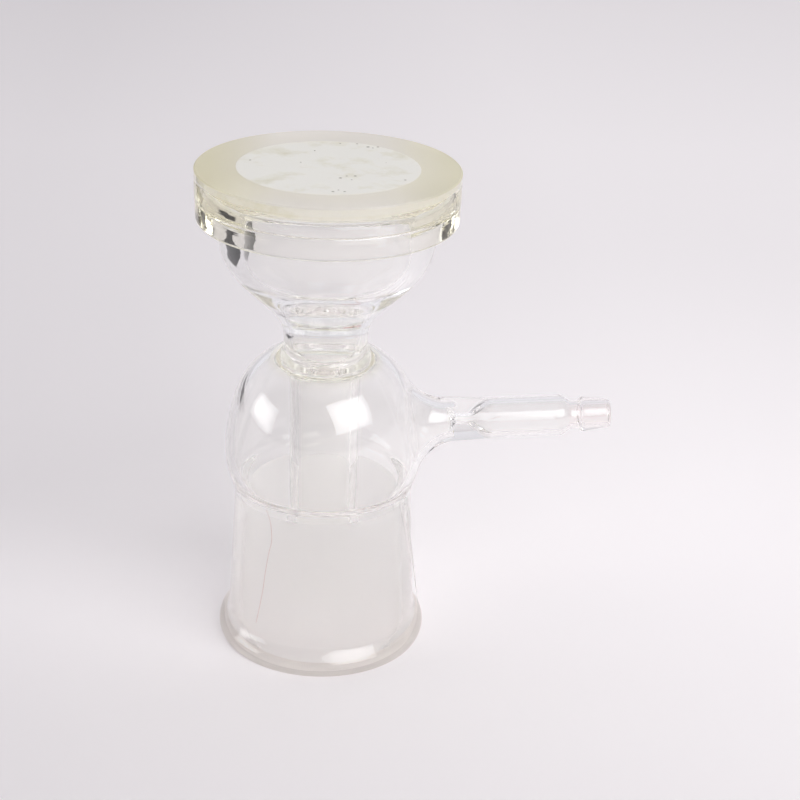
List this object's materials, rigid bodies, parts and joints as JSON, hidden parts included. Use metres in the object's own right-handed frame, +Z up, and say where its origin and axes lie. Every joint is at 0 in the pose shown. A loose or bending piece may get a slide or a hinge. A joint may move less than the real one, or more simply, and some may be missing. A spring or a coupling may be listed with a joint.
{
  "type": "vacuum filtration unit",
  "caption": "All-glass filtration base: a sintered disc in a ground flange drains through bowl and drip tube into a ground taper socket, with a barbed vacuum side arm.",
  "frame": {"origin": "centre of the ground socket's mouth, on the plane of its rolled bead", "axes": "+Z up along the axis of socket, drip tube, bowl and sintered disc; +X toward the side arm"},
  "size_m": [0.0975, 0.0592, 0.117],
  "materials": {
    "borosilicate_glass": "polished, with ground socket and ground flange face",
    "sintered_glass": "matt, white and porous"
  },
  "bodies": {
    "root": {"glass_body": "borosilicate_glass", "frit_disc": "sintered_glass"}
  },
  "joints": []
}
